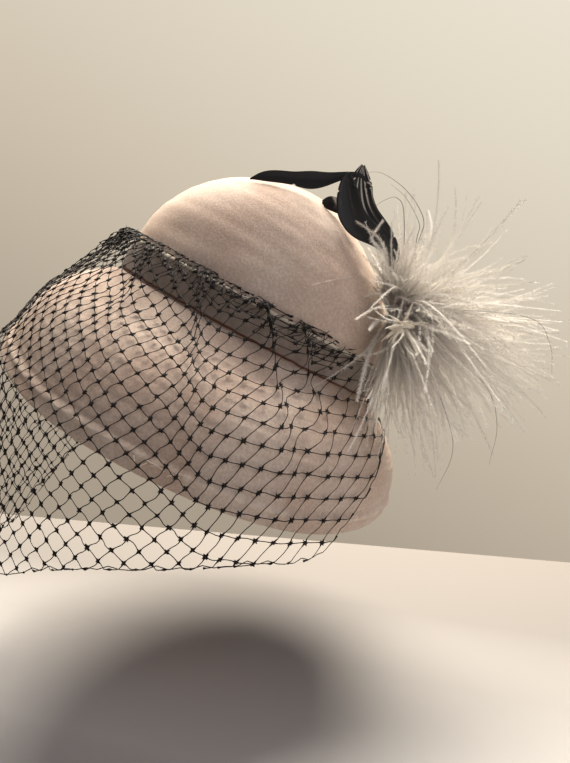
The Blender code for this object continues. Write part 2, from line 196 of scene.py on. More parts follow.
def fromPhoto(across, down, x):
    # the point at that x on the line of sight through a place in the photograph
    pitch = math.radians(photo["pitch"])
    ahead = np.array([-math.cos(pitch), 0, -math.sin(pitch)])
    up = np.array([-math.sin(pitch), 0, math.cos(pitch)])
    side = np.array([0.0, 1.0, 0.0])
    u = (np.asarray(across, float)[..., None] - photo["wide"] / 2) / photo["focal"]
    v = (np.asarray(down, float)[..., None] - photo["high"] / 2) / photo["focal"]
    line = ahead + side * u - up * v
    return eye + line * ((np.asarray(x, float)[..., None] - eye[0]) / line[..., :1])


def gridQuads(rows, columns, closed=False, start=0, turned=False):
    # quads between neighbouring rows and columns of a grid of points
    last = columns if closed else columns - 1
    row, column = np.meshgrid(np.arange(rows - 1), np.arange(last), indexing="ij")
    a = row * columns + column
    b = row * columns + (column + 1) % columns
    quads = np.stack([a, a + columns, b + columns, b], -1).reshape(-1, 4) + start
    return quads[:, ::-1] if turned else quads


def repeated(faces, copies, stride):
    # the same faces for each copy of a shape, whose points follow one another
    return (faces[None] + (np.arange(copies) * stride)[:, None, None]).reshape(-1, faces.shape[1])


def tubes(paths, radii, sides, upward):
    # closed tubes along many paths at once: a ring across each path's run at every step;
    # radii may be one number, one for each step, or one for each point
    count, steps = paths.shape[:2]
    run = unit(np.gradient(paths, axis=1))
    across = unit(np.cross(run, upward))
    lift = np.cross(across, run)
    turn = fullTurn(sides)
    ring = across[:, :, None] * np.cos(turn)[:, None] + lift[:, :, None] * np.sin(turn)[:, None]
    points = paths[:, :, None] + ring * np.broadcast_to(radii, paths.shape[:2])[..., None, None]
    stride = steps * sides
    quads = repeated(gridQuads(steps, sides, closed=True), count, stride)
    cap = np.arange(sides)[None]
    last = cap[:, ::-1] + stride - sides
    caps = np.concatenate([repeated(cap, count, stride), repeated(last, count, stride)])
    return points.reshape(-1, 3), [quads, caps]


def joined(*parts):
    # several (points, face arrays) as one
    points, faces, start = [], [], 0
    for some, arrays in parts:
        points.append(some)
        faces += [array + start for array in arrays]
        start += len(some)
    return np.concatenate(points), faces


def makeMesh(name, points, faces, **values):
    # values: one number or colour for each point, kept as named attributes
    corners = np.concatenate([f.ravel() for f in faces])
    sizes = np.concatenate([np.full(len(f), f.shape[1]) for f in faces])
    mesh = bpy.data.meshes.new(name)
    mesh.vertices.add(len(points))
    mesh.vertices.foreach_set("co", np.ascontiguousarray(points, np.float32).ravel())
    mesh.loops.add(len(corners))
    mesh.loops.foreach_set("vertex_index", corners.astype(np.int32))
    mesh.polygons.add(len(sizes))
    starts = np.concatenate([[0], sizes.cumsum()[:-1]])
    mesh.polygons.foreach_set("loop_start", starts.astype(np.int32))
    mesh.update(calc_edges=True)
    mesh.shade_smooth()
    for key, value in values.items():
        layer = mesh.attributes.new(key, "FLOAT", "POINT")
        layer.data.foreach_set("value", np.ascontiguousarray(value, np.float32).ravel())
    return mesh


def inScene(name, data):
    made = bpy.data.objects.new(name, data)
    bpy.context.scene.collection.objects.link(made)
    return made


def addPiece(name, mesh, finish, slot, *nodes):
    piece = inScene(name, mesh)
    mesh.materials.append(finish)
    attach(piece, "root")
    if nodes:
        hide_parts(*nodes)
    print(name, len(mesh.polygons), "faces")
    return piece


def toLinear(code):
    parts = np.array([int(code[k : k + 2], 16) for k in (1, 3, 5)]) / 255
    parts = np.where(parts <= 0.04045, parts / 12.92, ((parts + 0.055) / 1.055) ** 2.4)
    return (*parts.tolist(), 1.0)


def linkUp(tree, node, links):
    # links are (socket, source); a source that is a node gives its first output
    for socket, source in links:
        isNode = isinstance(source, bpy.types.Node)
        tree.links.new(source.outputs[0] if isNode else source, node.inputs[socket])


def addNode(tree, kind, links=(), stops=(), second=None, **settings):
    # settings with a capital are sockets, others the node's options; stops are a ramp's places
    # and colours, and second is the constant on a node's second socket
    node = tree.nodes.new("ShaderNode" + kind)
    if second is not None:
        node.inputs[1].default_value = second
    for name, value in settings.items():
        if name[0].isupper():
            node.inputs[name.replace("_", " ")].default_value = value
        else:
            setattr(node, name, value)
    for index, (place, colour) in enumerate(stops):
        ramp = node.color_ramp.elements
        stop = ramp[index] if index < 2 else ramp.new(place)
        stop.position, stop.color = place, toLinear(colour)
    linkUp(tree, node, links)
    return node


def newMaterial(name, **settings):
    made = bpy.data.materials.new(name)
    made.use_nodes = True
    shader = made.node_tree.nodes["Principled BSDF"]
    for key, value in settings.items():
        shader.inputs[key.replace("_", " ")].default_value = value
    return made, made.node_tree, shader


def woolFelt():
    # blocked wool felt: matt, a fine nap that glows at grazing angles, fibres of 20 to 40 mm
    # matted into a mottle of 1 to 3 mm, and a slow change of tone from steaming
    nap = dict(Sheen_Weight=0.30, Sheen_Roughness=0.45, Sheen_Tint=toLinear("#F6E2CC"))
    nap.update(Roughness=0.92, Specular_IOR_Level=0.25)
    made, tree, shader = newMaterial("blocked wool felt", **nap)
    where = addNode(tree, "TexCoord").outputs["Object"]
    mottle = addNode(tree, "TexNoise", [("Vector", where)], Scale=560.0, Detail=4.0, Roughness=0.6)
    slow = addNode(tree, "TexNoise", [("Vector", where)], Scale=24.0, Detail=2.0, Distortion=0.4)
    stops = [(0.30, "#C3B0A2"), (0.52, "#D1BFB2"), (0.72, "#DFD0C3")]
    colour = addNode(tree, "ValToRGB", [("Fac", mottle)], stops)
    stops = [(0.35, "#F1E7E2"), (0.65, "#FFFFFF")]
    tone = addNode(tree, "ValToRGB", [("Fac", slow)], stops)
    layers = [("Color1", colour), ("Color2", tone)]
    both = addNode(tree, "MixRGB", layers, blend_type="MULTIPLY", Fac=0.8)
    # painted highlight: the welt is pale in streaks where light catches it; hem threads are pale of
    # their own
    ridge = addNode(tree, "Attribute", attribute_name="ridge").outputs["Fac"]
    layers = [("Fac", ridge), ("Color1", both)]
    toned = addNode(tree, "MixRGB", layers, Color2=toLinear("#EFE2D4"))
    fibre = addNode(tree, "TexNoise", [("Vector", where)], Scale=1300.0, Detail=4.0, Roughness=0.7)
    mixed = addNode(tree, "Math", [(0, fibre), (1, mottle)], operation="ADD")
    bump = addNode(tree, "Bump", [("Height", mixed)], Strength=0.55, Distance=0.0004)
    linkUp(tree, shader, [("Base Color", toned), ("Normal", bump)])
    return made


def crossRibs(tree, shader, along, spacing, strength, distance):
    # fine ribs, evenly spaced along a coordinate in metres
    turns = addNode(tree, "Math", [(0, along)], second=2 * math.pi / spacing, operation="MULTIPLY")
    wave = addNode(tree, "Math", [(0, turns)], operation="SINE")
    bump = addNode(tree, "Bump", [("Height", wave)], Strength=strength, Distance=distance)
    linkUp(tree, shader, [("Normal", bump)])


def grosgrain():
    # flat ribbon woven with crosswise ribs about 1 mm apart, with painted shade as a reddish-brown
    # foot line where it meets the felt, and a painted highlight along its rolled upper selvage
    sheen = dict(Roughness=0.62, Sheen_Weight=0.2, Specular_IOR_Level=0.35)
    made, tree, shader = newMaterial("grosgrain ribbon", **sheen)
    along = addNode(tree, "Attribute", attribute_name="along").outputs["Fac"]
    across = addNode(tree, "Attribute", attribute_name="across").outputs["Fac"]
    # painted shade at the foot edge and a painted highlight on the upper selvage; the middle is its
    # own colour
    stops = [(0.0, "#6A4030"), (0.055, "#6A4030"), (0.072, "#9F928A")]
    stops += [(0.905, "#A5998F"), (0.93, "#F6ECDA")]  # foot edge, middle, upper selvage
    colour = addNode(tree, "ValToRGB", [("Fac", across)], stops)
    where = addNode(tree, "TexCoord").outputs["Object"]
    toned = addNode(tree, "TexNoise", [("Vector", where)], Scale=160.0, Detail=3.0)
    stops = [(0.3, "#C9C2BC"), (0.7, "#FFFFFF")]
    shade = addNode(tree, "ValToRGB", [("Fac", toned)], stops)
    layers = [("Color1", colour), ("Color2", shade)]
    both = addNode(tree, "MixRGB", layers, blend_type="MULTIPLY", Fac=0.7)
    linkUp(tree, shader, [("Base Color", both)])
    crossRibs(tree, shader, along, spacing=0.0011, strength=0.5, distance=0.0002)
    return made


def blackNet():
    # stiffened nylon net, dyed black, with a faint brown in small patches
    sheen = dict(Roughness=0.65, Sheen_Weight=0.05, Specular_IOR_Level=0.2)
    made, tree, shader = newMaterial("dyed nylon net", **sheen)
    where = addNode(tree, "TexCoord").outputs["Object"]
    spots = addNode(tree, "TexNoise", [("Vector", where)], Scale=700.0, Detail=2.0)
    stops = [(0.35, "#0D0C0D"), (0.7, "#2A2422")]
    colour = addNode(tree, "ValToRGB", [("Fac", spots)], stops)
    linkUp(tree, shader, [("Base Color", colour)])
    return made


def ostrichDown(name, deep, middle, tip):
    # ostrich barbs: dull, downy, paler as their tone rises; on the down that tone is painted shade
    sheen = dict(Sheen_Weight=0.45, Sheen_Roughness=0.5, Specular_IOR_Level=0.2)
    made, tree, shader = newMaterial(name, Roughness=0.75, **sheen)
    tone = addNode(tree, "Attribute", attribute_name="tone").outputs["Fac"]
    stops = [(0.0, deep), (0.45, middle), (1.0, tip)]
    colour = addNode(tree, "ValToRGB", [("Fac", tone)], stops)
    linkUp(tree, shader, [("Base Color", colour)])
    return made


def blackFeather():
    # dyed goose: black vane of barbs about 0.5 mm apart, drawn here at 1 mm so that they show,
    # with a low gloss along them and pale lines where the tone says so
    sheen = dict(Roughness=0.40, Sheen_Weight=0.08, Specular_IOR_Level=0.5)
    made, tree, shader = newMaterial("dyed goose feather", **sheen)
    tone = addNode(tree, "Attribute", attribute_name="tone").outputs["Fac"]
    barb = addNode(tree, "Attribute", attribute_name="barb").outputs["Fac"]
    stops = [(0.0, "#09090B"), (0.35, "#171618"), (0.75, "#5C5650"), (1.0, "#D8D2C8")]
    colour = addNode(tree, "ValToRGB", [("Fac", tone)], stops)
    linkUp(tree, shader, [("Base Color", colour)])
    crossRibs(tree, shader, barb, spacing=0.0010, strength=0.35, distance=0.0001)
    return made


feltFinish = woolFelt()
ribbonFinish = grosgrain()
netFinish = blackNet()
downFinish = ostrichDown("ostrich down", "#C9C2BA", "#ECE8E2", "#F8F3EA")
shaftFinish = ostrichDown("ostrich shaft", "#A8927B", "#E6D9C4", "#FBF4E6")
blackFinish = blackFeather()
print("finishes made")


hood = {
    "headings": 240,
    "crownRows": 62,
    "brimRows": 84,
    "hem": 0.0098,  # from the edge up to the welt's middle
    "welt": 0.0017,  # how proud the welt of the turned hem stands
    "weltWidth": 0.0021,
    "pucker": 0.00025,  # how uneven the stitched hem is
    "wave": 0.00030,  # slow unevenness of the blocked felt
    "lip": 0.0005,  # how far the turned-up cloth stands off below the welt
    "dip": 0.0005,  # depth of the soft hollow above it
    "dipWidth": 0.0012,
    "round": 0.0004,  # how much the very edge is rounded in
    "weltWaves": ((0, 61, 0.3), (0, 97, 1.9), (0, 149, 4.0)),
    "slowWaves": ((9, 5, 0.4), (14, -7, 2.1), (5, 11, 4.4), (21, 3, 1.2)),
}


def feltShell():
    # outer skin: dome rows, then brim sections with a rounded welt over the turned hem;
    # inner skin: the same points moved in by the felt's wall; a ring of quads closes the edge
    count = hood["headings"]
    heading = fullTurn(count)[None, :]
    climbs = np.linspace(math.pi / 2, 0, hood["crownRows"] + 1)[1:-1, None]
    shares = np.linspace(0, 1, hood["brimRows"])[:, None]
    ribbonPart = np.linspace(bandTop, 0, 7)[:-1, None]
    upper = crownPoint(heading, climbs)
    middle = atHeading(heading, openingRadius(heading) + 0 * ribbonPart, ribbonPart)
    lower = brimPoint(heading, shares)
    outer = np.concatenate([upper, middle, lower])
    rows = len(outer)
    toEdge = np.full((rows, count), 1.0)
    toEdge[-len(shares) :] = np.linalg.norm(lower - lower[-1:], axis=-1)
    normal = normalsOf(outer)
    level = np.linspace(0, 9, rows)[:, None]
    near = np.exp(-(((toEdge - hood["hem"]) / hood["weltWidth"]) ** 2))
    gather = ripples(level, heading, hood["weltWaves"])
    push = near * (hood["welt"] + hood["pucker"] * gather)
    push += hood["lip"] * np.clip((hood["hem"] - toEdge) / 0.001, 0, 1)
    push += hood["wave"] * ripples(level, np.sin(heading) + np.cos(heading), hood["slowWaves"])
    push -= hood["dip"] * np.exp(-(((toEdge - 1.5 * hood["hem"]) / hood["dipWidth"]) ** 2))
    inner = outer - normal * hat["felt"]
    outer = outer + normal * push[..., None]
    outer[-1] -= normal[-1] * hood["round"]
    top = np.array([[0, 0, hat["crownHeight"]], [0, 0, hat["crownHeight"] - hat["felt"]]])
    half = rows * count
    points = np.concatenate([outer.reshape(-1, 3), inner.reshape(-1, 3), top])
    column = np.arange(count)
    after = (column + 1) % count
    last = half - count
    rim = np.stack([last + column, half + last + column, half + last + after, last + after], -1)
    tops = np.stack([np.full(count, 2 * half), column, after], -1)
    unders = np.stack([np.full(count, 2 * half + 1), half + after, half + column], -1)
    quads = [gridQuads(rows, count, True), gridQuads(rows, count, True, half, turned=True), rim]
    # painted highlight: pale streaks along the welt, following its puckers; none on the inner skin
    ridge = near * np.clip(0.5 + 0.9 * gather, 0, 1) * 0.5
    ridge = np.concatenate([ridge.ravel(), 0 * ridge.ravel(), [0, 0]])
    return makeMesh("felt", tipped(points), [*quads, tops, unders], ridge=ridge)


addPiece("felt_hood", feltShell(), feltFinish, "felt", "felt_body")


hemEnds = {"headings": (84.0, 86.5, 88.0, 92.0), "long": 0.055, "share": 0.93, "thick": 0.00030}


def hemThreads():
    # short ends of the hem's ivory stitching thread, lying on the felt near the side: each an
    # arc along the brim (long, in radians) with a sine-shaped bend
    draw = np.random.default_rng(5)
    t = np.linspace(0, 1, 9)
    heading = np.radians(np.array(hemEnds["headings"]))[:, None] + t * hemEnds["long"]
    place, bend = 0.02 * draw.normal(0, 1, (4, 1)), draw.normal(0, 1, (4, 1))
    share = hemEnds["share"] + place + 0.03 * np.sin(3 * t) * bend
    lying = tipped(brimPoint(heading, share))
    outward = unit(lying * np.array([1, 1, 0]))
    lying = lying + outward * (0.0022 + 0.0006 * np.sin(math.pi * t))[:, None]
    points, faces = tubes(lying, hemEnds["thick"], 5, outward)
    return makeMesh("threads", points, faces, ridge=np.full(len(points), 1.0))


addPiece("hem_threads", hemThreads(), feltFinish, "felt")


band = {
    "columns": 320,
    "thick": 0.0009,
    "gap": 0.0003,  # between felt and ribbon
    "bulge": 0.0003,  # how much fuller its middle stands
    "edge": 0.00070,  # how proud the rolled upper selvage stands
    "sag": 0.00035,  # how unevenly it lies, up and down
    "waves": ((23, 0, 0.2), (37, 0, 2.2), (61, 0, 4.2)),
}


def ribbonLoop():
    # a flat closed profile carried round the head ellipse, a little fuller in its middle and
    # with a fine roll along its upper selvage
    count = band["columns"]
    heading = fullTurn(count)[:, None]
    share = np.linspace(0, 1, 15)
    height = hat["ribbonLift"] + hat["ribbonWidth"] * share
    bulge = band["bulge"] * np.sin(math.pi * share)
    bulge += band["edge"] * np.exp(-(((share - 0.965) / 0.03) ** 2))
    outside = band["gap"] + band["thick"] + bulge
    inside = np.full(2, band["gap"])
    profileOut = np.concatenate([outside, inside])
    profileUp = np.concatenate([height, height[[-1, 0]]])
    sag = band["sag"] * ripples(heading, 0 * heading, band["waves"])
    points = atHeading(heading, openingRadius(heading) + profileOut, profileUp + sag)
    size = len(profileOut)
    points = points.reshape(-1, 3)
    quads = gridQuads(count + 1, size, True) % (count * size)
    across = np.tile(np.concatenate([share, [1, 0]]), count)
    circuit = openingRadius(heading[:, 0]).mean() * heading[:, 0]
    along = np.repeat(circuit, size)
    return makeMesh("ribbon", tipped(points), [quads[:, ::-1]], across=across, along=along)


ribbonPiece = addPiece("ribbon_band", ribbonLoop(), ribbonFinish, "ribbon", "hatband")


veil = {
    "clear": 0.0013,  # from felt and ribbon to the net's middle
    "slack": 0.0010,
    "spring": 0.0030,  # how far it stands off at the brim's edge
    "springReach": 0.0110,
    "puff": 0.0060,  # how far the gathered top stands off at the front
    "sidePuff": 0.0022,  # and at the sides
    "fall": 0.1650,  # below the brim's edge at the front
    "flare": 0.0170,  # how far the stiff net swings out below the brim, at its border
    "end": 172.0,  # bearing of its back end, degrees
    "cellWide": 0.0148,  # across the meshes, corner to corner
    "cellTall": 0.0133,
    "lean": 0.10,  # how the columns of knots run back on their way up
    "middle": -0.020,  # the upright line that the columns stand round: its y
    "level": -0.1400,  # a level line that the rows are counted from
    "turnsAt": 0.27,  # how far along the level line the rows begin to climb
    "climb": 0.55,  # how steeply they climb from there
    "opening": 8.0,  # how fast the cells open there
    "thread": 0.00027,  # radii
    "threadAtKnot": 0.00080,
    "border": 0.00028,
    "knotLong": 0.00215,
    "knotWide": 0.00190,
    "knotThick": 0.00080,
    "bend": 0.0004,  # how bowed the strands are
    "billow": 0.0030,  # slow waves of the hanging part
    "selvageDip": 0.0030,  # how far the border rises between knots
    "lyingSteps": 48,
    "hangingSteps": 60,
}
# How far the net falls below the brim's edge on each side, in shares of the fall at the front
veilTable = tableOf(
    "heading left right",
    (0, 1.00, 1.00),
    (12, 0.99, 0.93),
    (37, 0.78, 0.52),
    (64, 0.50, 0.26),
    (90, 0.28, 0.13),
    (112, 0.14, 0.04),
    (136, 0.00, -0.04),
    (145, -0.17, -0.17),
    (152, -0.29, -0.29),
    (163, -0.37, -0.37),
    (180, -0.40, -0.40),
)
# How closely the net follows the ribbon's foot: 0 is a straight run from its top to the brim
hugTable = tableOf(
    "heading hug",
    (0, 0.0),
    (22, 0.1),
    (50, 0.55),
    (100, 0.7),
    (125, 1.0),
    (180, 1.0),
)
# Pleats of the gathered net: where, how wide, how strongly it is drawn together (over 1 it
# folds over itself), how high it lies and how far down it reaches, degrees and metres
pleatTable = tableOf(
    "place width pinch lift reach",
    (-60, 8, 0.9, 0.0012, 0.045),
    (-30, 9, 1.2, 0.0020, 0.050),
    (-9, 8, 1.5, 0.0030, 0.060),
    (9, 8, 1.5, 0.0036, 0.070),
    (27, 7, 1.1, 0.0020, 0.050),
    (44, 6, 0.9, 0.0018, 0.040),
    (61, 8, 0.9, 0.0030, 0.065),
    (76, 5, 1.1, 0.0018, 0.045),
    (88, 9, 0.8, 0.0030, 0.120),
    (113, 6, 1.2, 0.0026, 0.100),
    (126, 6, 1.0, 0.0030, 0.080),
    (-90, 8, 1.1, 0.0016, 0.050),
    (-125, 9, 1.2, 0.0016, 0.050),
)


def veilRuns():
    # the net's run at every heading: over the ribbon's top edge, down to the brim along the
    # tangent, along the brim and straight down, with the distance covered at each point
    heading = np.radians(np.arange(-180.0, 180.5, 1.0))[:, None]
    out = atHeading(heading, 1.0, 0.0)
    lying = brimPoint(heading, np.linspace(0, 1, veil["lyingSteps"])[None, :])
    run = np.gradient(lying, axis=1)
    forward = (run * out).sum(-1, keepdims=True)
    lift = unit(np.concatenate([-run[..., 2:] * out[..., :2], forward], -1))
    toEdge = np.linalg.norm(lying - lying[:, -1:], axis=-1)
    spring = veil["spring"] * np.exp(-((toEdge / veil["springReach"]) ** 2))
    lying = lying + lift * (veil["clear"] + veil["slack"] + spring)[..., None]
    front = np.exp(-((heading / 0.45) ** 2))
    puff = veil["sidePuff"] + (veil["puff"] - veil["sidePuff"]) * front
    puff = puff * np.interp(np.abs(heading), (1.9, 2.2), (1.0, 0.3))
    foot = openingRadius(heading)
    ribbonOut = foot + band["gap"] + band["thick"] + veil["clear"]
    tuck = ((foot - 0.0002, 0.0004), (foot + band["gap"], 0.0011), (ribbonOut, 0.0002))
    start = [atHeading(heading, radius, bandTop + rise) for radius, rise in tuck]
    high = atHeading(heading, ribbonOut + puff, bandTop - 0.0025 + 0.6 * (puff - veil["sidePuff"]))
    ahead = ((lying - high) * out).sum(-1)
    steepness = (lying[..., 2] - high[..., 2]) / np.maximum(ahead, 1e-4)
    steepness = np.where(ahead > veil["puff"], steepness, -9.0)  # never the nearest places
    hug = np.interp(np.abs(np.degrees(heading)), hugTable["heading"], hugTable["hug"])
    taut = np.round(np.argmax(steepness, axis=1)[:, None] * (1 - hug) + 3 * hug).astype(int)
    index = np.arange(veil["lyingSteps"])[None, :]
    touch = np.take_along_axis(lying, taut[..., None], 1)
    straight = high + (touch - high) * (index / np.maximum(taut, 1))[..., None]
    lying = np.where((index < taut)[..., None], straight, lying)
    path = tipped(np.concatenate([*start, lying], axis=1))
    away = unit(tipped(out) * np.array([1, 1, 0]))
    drops = np.linspace(0.003, 2 * veil["fall"], veil["hangingSteps"])[None, :, None]
    facing = np.exp(-((heading[..., None] / 1.3) ** 4))
    facing = facing * (1 + 0.9 * np.exp(-(((np.abs(heading[..., None]) - 0.70) / 0.38) ** 2)))
    swing = veil["flare"] * facing * (np.clip(drops / veil["fall"], 0, 1) ** 1.2)
    hanging = path[:, -1:] + away * (veil["spring"] / 2 + swing) + drops * np.array([0, 0, -1.0])
    turn = np.abs(heading[:, 0])
    places = np.radians(veilTable["heading"])
    falls = [through(turn, places, veilTable[side]) for side in ("left", "right")]
    fall = veil["fall"] * np.where(heading[:, 0] > 0, *falls)
    toBrim = distances(path, 1)[:, -1]
    path = np.concatenate([path, hanging], axis=1)
    return path, distances(path, 1), toBrim + fall


veilPath, veilSteps, veilLength = veilRuns()


def onRuns(points, steps, index, distance):
    # the points of the numbered runs at these distances, by one lookup for all the runs
    farApart = 10.0  # keeps neighbouring runs apart in it
    keys = (steps + farApart * np.arange(len(steps))[:, None]).ravel()
    inside = np.clip(distance, 0, steps[index, -1]) + farApart * index
    return np.stack([np.interp(inside, keys, points[..., k].ravel()) for k in range(3)], -1)


def uprightSections():
    # the draped surface cut by upright planes round one upright line: at each level of the
    # runs, the place whose point lies at the wanted bearing; then the distance down each cut
    turns = np.arange(-180.0, 180.5, 1.0)
    levels = np.linspace(0, 1, 170)
    every = np.repeat(np.arange(len(turns))[:, None], len(levels), axis=1)
    points = onRuns(veilPath, veilSteps, every, levels * veilSteps[:, -1:])
    bearing = np.arctan2(points[..., 0], veil["middle"] - points[..., 1])
    bearing = np.degrees(np.unwrap(bearing, axis=0))
    found = np.stack([np.interp(bearings, bearing[:, m], turns) for m in range(len(levels))], 1)
    place = np.clip(found + 180, 0, 359.999)
    index = place.astype(int)
    part = place - index
    level = np.arange(len(levels))[None, :]
    cut = points[index, level] * (1 - part[..., None]) + points[index + 1, level] * part[..., None]
    down = distances(cut, 1)
    past = levels * np.interp(found, turns, veilSteps[:, -1]) - np.interp(found, turns, veilLength)
    past = np.maximum.accumulate(past + 1e-9 * np.arange(len(levels)), axis=1)
    border = np.array([np.interp(0, p, d) for p, d in zip(past, down)])
    sunk = np.maximum.accumulate(-cut[..., 2] + 1e-9 * np.arange(len(levels)), axis=1)
    level = np.array([np.interp(-veil["level"], z, d) for z, d in zip(sunk, down)])
    return cut, down, border, level


bearings = np.arange(-179.0, 179.5, 1.0)
cutPoints, cutDown, cutBorder, cutLevel = uprightSections()


def bareNet(bearing, down):
    # a point of the net's surface by its bearing and its distance down from the ribbon's top
    place = np.clip(bearing + 179, 0, 357.999)
    index = place.astype(int)
    part = (place - index)[..., None]
    here, there = (onRuns(cutPoints, cutDown, index + k, down) for k in (0, 1))
    return here * (1 - part) + there * part


def netPoint(bearing, down, lift=0.0):
    # the draped net: the surface, drawn together at its pleats and standing up along them
    moved, proud = bearing, np.zeros_like(bearing)
    for place, width, pinch, rise, reach in zip(*pleatTable.values()):
        offset = (bearing - place) / width
        fade = np.exp(-((np.maximum(down, 0) / reach) ** 2))
        moved = moved - pinch * offset * width * np.exp(-(offset**2)) * fade
        proud = proud + rise * np.exp(-((2 * offset) ** 2)) * fade * np.clip(down / 0.012, 0, 1)
    hang = np.clip((down - 0.13) / 0.10, 0, 1)
    proud = proud + veil["billow"] * hang * np.sin(np.radians(bearing) * 5 + 0.8)
    base = bareNet(moved, down)
    step = 0.002
    fall = bareNet(moved, down + step) - bareNet(moved, down - step)
    beside = bareNet(moved + 0.6, down) - bareNet(moved - 0.6, down)
    normal = unit(np.cross(fall, beside))
    return base + normal * (proud + lift)[..., None], normal


levelRing = bareNet(bearings, cutLevel)
ringArc = distances(levelRing, 0)
ringArc -= np.interp(0, bearings, ringArc)


def placeOf(i, j):
    # rows stand at equal distances above a level line, columns at equal distances along it;
    # towards the back end the net turns upwards and its cells open
    wide, tall = veil["cellWide"] / 2, veil["cellTall"] / 2
    along = i * wide
    beyond = np.maximum(np.abs(along) - veil["turnsAt"], 0)
    height = j * tall + veil["climb"] * beyond
    lean = veil["lean"] * height * np.tanh(along / 0.05)
    along = along + np.sign(along) * veil["opening"] * beyond**2 + lean
    bearing = np.interp(along, ringArc, bearings)
    return bearing, np.interp(bearing, bearings, cutLevel) - height


def borderAt(bearing):
    return np.interp(bearing, bearings, cutBorder)


def starKnots(centres, first, second, normal, sizes, sides=8):
    # flattened balls with four short arms: rings whose radius swells towards each strand
    turn = fullTurn(sides)
    arms = 0.74 + 0.26 * np.cos(4 * turn)
    levels = np.array([-0.62, 0.0, 0.62])
    rings = np.sqrt(1 - levels**2)[:, None] * arms
    shape = [rings * np.cos(turn), rings * np.sin(turn), np.repeat(levels[:, None], sides, 1)]
    shape = np.concatenate([np.stack(shape, -1).reshape(-1, 3), [[0, 0, -1], [0, 0, 1]]])
    ways = np.stack([first, second, normal], 1) * sizes[:, :, None]
    points = centres[:, None] + np.einsum("pk,nkx->npx", shape, ways)
    count = len(centres)
    stride = 3 * sides + 2
    side = np.arange(sides)
    after = (side + 1) % sides
    low = np.stack([np.full(sides, 3 * sides), after, side], -1)
    high = np.stack([np.full(sides, 3 * sides + 1), 2 * sides + side, 2 * sides + after], -1)
    quads = gridQuads(3, sides, closed=True, turned=True)
    faces = [repeated(quads, count, stride), repeated(np.concatenate([low, high]), count, stride)]
    return points.reshape(-1, 3), faces


def netLayer(draw, lift, region, shift=0.0, squeeze=1.0):
    # the lattice's knots and its strands, each a slightly bowed path between two knots. A
    # region (bearings from, to, greatest depth) with a squeeze is a fold laid over the first layer
    i, j = np.meshgrid(np.arange(-70, 71), np.arange(-8, 60), indexing="ij")
    keep = (i + j) % 2 == 0
    i, j = i[keep] + shift, j[keep] + shift
    low, high, deepest = region
    starts, ends = [], []

    def settled(a, b):
        bearing, down = placeOf(a, b)
        middle = (low + high) / 2
        return middle + (bearing - middle) * (0.5 + 0.5 * squeeze), down * squeeze

    def inside(bearing, down):
        return (bearing > low) & (bearing < high) & (down < np.minimum(deepest, borderAt(bearing)))

    bearing, down = settled(i, j)
    for step in (-1, 1):
        bearing2, down2 = settled(i + step, j + 1)
        here, there = inside(bearing, down), inside(bearing2, down2)
        kept = (here & there if shift else here | there) & ((down > 0) | (down2 > 0))
        kept &= (np.minimum(bearing, bearing2) > -170) & (np.maximum(bearing, bearing2) < 170)
        starts.append(np.stack([bearing, down], -1)[kept])
        ends.append(np.stack([bearing2, down2], -1)[kept])
    starts, ends = np.concatenate(starts), np.concatenate(ends)
    t = np.linspace(0, 1, 6)[None, :, None]
    flat = starts[:, None] * (1 - t) + ends[:, None] * t
    perDegree = 0.0021  # metres along the net for each degree, about
    run = (ends - starts) * np.array([perDegree, 1])
    sideways = unit(run[:, ::-1] * np.array([1, -1]))[:, None] * np.array([1 / perDegree, 1])
    sway = draw.normal(0, 1, (len(flat), 2)) + np.array([0.0, 0.5])
    arch = np.sin(math.pi * t[..., 0])
    bow = sway[:, :1] * arch + 0.5 * sway[:, 1:] * np.sin(2 * math.pi * t[..., 0])
    flat = flat + sideways * (veil["bend"] * bow)[..., None]
    flat[..., 1] = np.clip(flat[..., 1], 0, borderAt(flat[..., 0]))
    off = lift + 0.0005 * draw.normal(0, 1, (len(flat), 1)) * arch
    paths, normals = netPoint(flat[..., 0], flat[..., 1], off)
    long = np.linalg.norm(paths[:, -1] - paths[:, 0], axis=-1) > 0.0006
    swell = np.abs(2 * t[..., 0] - 1) ** 6
    radii = veil["thread"] + (veil["threadAtKnot"] - veil["thread"]) * swell
    strands = tubes(paths[long], radii, 4, normals[long])
    kept = inside(bearing, down + (0.006 if shift else 0)) & (down > 0.0015)
    bearing, down = bearing[kept], down[kept]
    centres, normal = netPoint(bearing, down, np.full(len(down), lift))
    beside = bareNet(bearing + 0.4, down) - bareNet(bearing - 0.4, down)
    above = bareNet(bearing, down - 0.001) - bareNet(bearing, down + 0.001)
    first = unit(unit(beside) * veil["cellWide"] + unit(above) * veil["cellTall"])
    second = np.cross(normal, first)
    sizes = np.array([veil["knotLong"], veil["knotWide"], veil["knotThick"]])
    sizes = sizes * (1 + 0.14 * draw.normal(0, 1, (len(down), 3)))
    return strands, starKnots(centres, first, second, normal, sizes)


def borderThread(draw):
    # the thread that ends the net: from dip to dip along its border
    bearing = np.arange(-168.0, 168.5, 2.3)
    dips = veil["selvageDip"] * draw.uniform(-0.2, 0.9, len(bearing))
    dips = np.where(np.arange(len(bearing)) % 2, dips, 0)
    corners = np.stack([bearing, borderAt(bearing) - dips], -1)
    t = np.linspace(0, 1, 5)[None, :, None]
    edge = corners[:-1, None] * (1 - t) + corners[1:, None] * t
    paths, normals = netPoint(edge[..., 0], edge[..., 1])
    return tubes(paths, veil["border"], 4, normals)


def drooping(start, direction, length, droop, curl, steps):
    # paths that set off in a direction and bend down under their weight: a parabola in length
    t = np.linspace(0, 1, steps)[None, :, None]
    bend = droop[:, None, None] * np.array([0, 0, -1.0]) + curl[:, None]
    return start[:, None] + length[:, None, None] * (direction[:, None] * t + bend * t**2 / 2)


